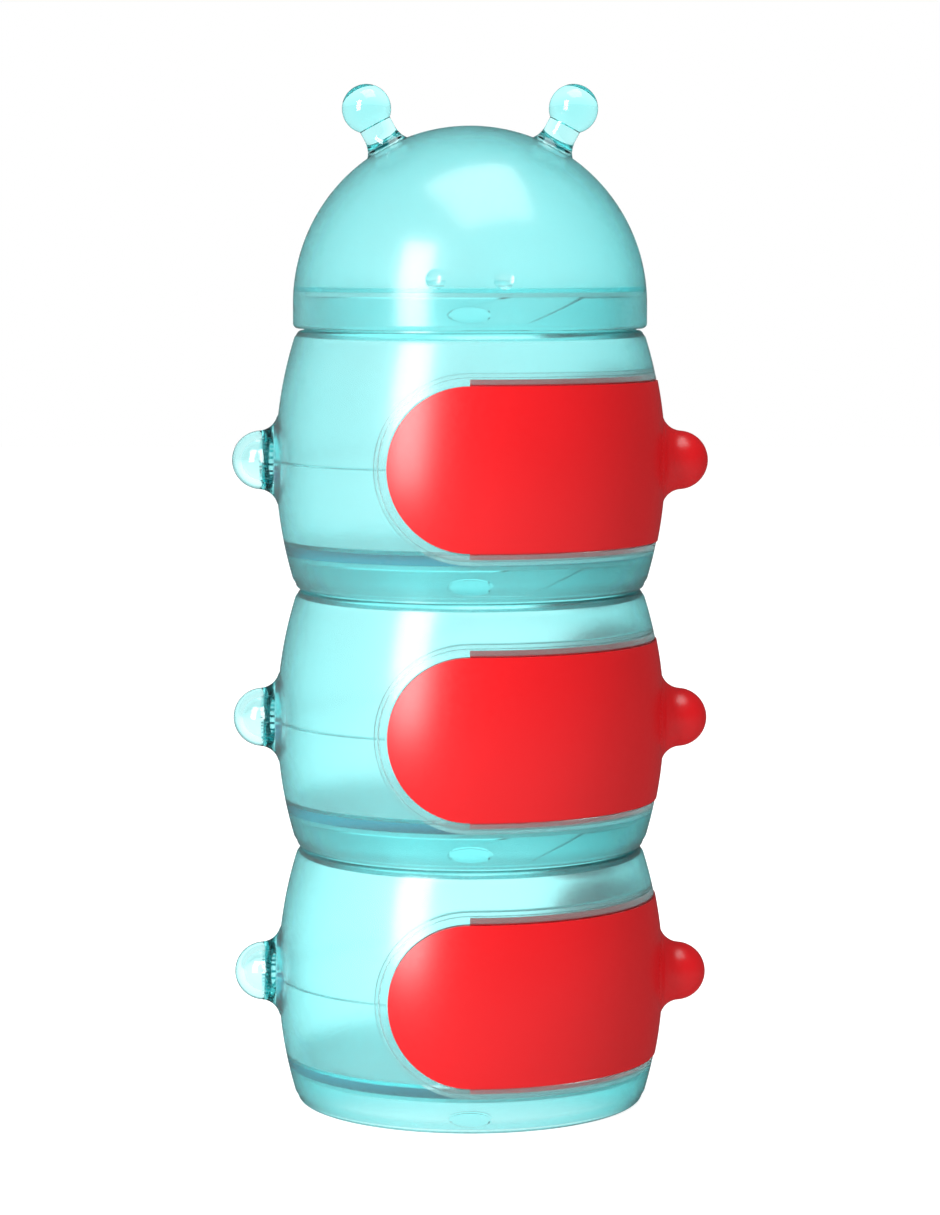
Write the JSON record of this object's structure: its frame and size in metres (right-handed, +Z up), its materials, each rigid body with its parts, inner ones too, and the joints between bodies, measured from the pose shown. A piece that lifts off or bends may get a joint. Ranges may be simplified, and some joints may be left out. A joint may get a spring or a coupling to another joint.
{
  "type": "formula dispenser",
  "caption": "Stack of translucent round milk powder containers with curved sliding doors and a domed head cap with ball-tipped antennas.",
  "frame": {"origin": "centre of the bottom container's resting rim", "axes": "+Z up the stack, -Y towards the front (eyes and pour windows), +X towards the doors' nubs"},
  "size_m": [0.0956, 0.0769, 0.2045],
  "materials": {
    "aqua_translucent_plastic": "satin translucent polypropylene",
    "aqua_glossy_plastic": "glossy clear polypropylene",
    "red_satin_plastic": "satin",
    "silicone": "matte translucent silicone"
  },
  "bodies": {
    "bottom_container": {"bottom_lower_shell": "aqua_translucent_plastic", "bottom_upper_shell": "aqua_translucent_plastic", "bottom_door_seal": "silicone", "bottom_rim_seal": "silicone"},
    "bottom_sliding_door": {"bottom_door": "red_satin_plastic"},
    "middle_seal": {"middle_rim_seal": "silicone"},
    "middle_container": {"middle_lower_shell": "aqua_translucent_plastic", "middle_upper_shell": "aqua_translucent_plastic", "middle_door_seal": "silicone"},
    "middle_sliding_door": {"middle_door": "red_satin_plastic"},
    "top_seal": {"top_rim_seal": "silicone"},
    "top_container": {"top_lower_shell": "aqua_translucent_plastic", "top_upper_shell": "aqua_translucent_plastic", "top_door_seal": "silicone"},
    "top_sliding_door": {"top_door": "red_satin_plastic"},
    "head_seal": {"head_rim_seal": "silicone"},
    "head": {"head_dome": "aqua_translucent_plastic", "antenna_left": "aqua_glossy_plastic", "antenna_right": "aqua_glossy_plastic"}
  },
  "joints": [
    {"name": "middle_lift", "type": "slide", "parent": "bottom_container", "child": "middle_seal", "axis": [0, 0, 1], "range_m": [0, 0.0216]},
    {"name": "middle_twist", "type": "hinge", "parent": "middle_seal", "child": "middle_container", "pos_m": [0, 0, 0.052], "axis": [0, 0, 1], "range_deg": [0, 180]},
    {"name": "top_lift", "type": "slide", "parent": "middle_container", "child": "top_seal", "axis": [0, 0, 1], "range_m": [0, 0.0216]},
    {"name": "top_twist", "type": "hinge", "parent": "top_seal", "child": "top_container", "pos_m": [0, 0, 0.104], "axis": [0, 0, 1], "range_deg": [0, 180]},
    {"name": "head_lift", "type": "slide", "parent": "top_container", "child": "head_seal", "axis": [0, 0, 1], "range_m": [0, 0.0216]},
    {"name": "head_twist", "type": "hinge", "parent": "head_seal", "child": "head", "pos_m": [0, 0, 0.156], "axis": [0, 0, 1], "range_deg": [0, 180]},
    {"name": "bottom_door_slide", "type": "hinge", "parent": "bottom_container", "child": "bottom_sliding_door", "pos_m": [0, 0, 0.0256], "axis": [0, 0, 1], "range_deg": [0, 45]},
    {"name": "middle_door_slide", "type": "hinge", "parent": "middle_container", "child": "middle_sliding_door", "pos_m": [0, 0, 0.0776], "axis": [0, 0, 1], "range_deg": [0, 45]},
    {"name": "top_door_slide", "type": "hinge", "parent": "top_container", "child": "top_sliding_door", "pos_m": [0, 0, 0.1296], "axis": [0, 0, 1], "range_deg": [0, 45]}
  ],
  "couplings": [
    {"joint": "middle_lift", "follows": "middle_twist", "m_per_rad": 0.006875},
    {"joint": "top_lift", "follows": "top_twist", "m_per_rad": 0.006875},
    {"joint": "head_lift", "follows": "head_twist", "m_per_rad": 0.006875}
  ]
}
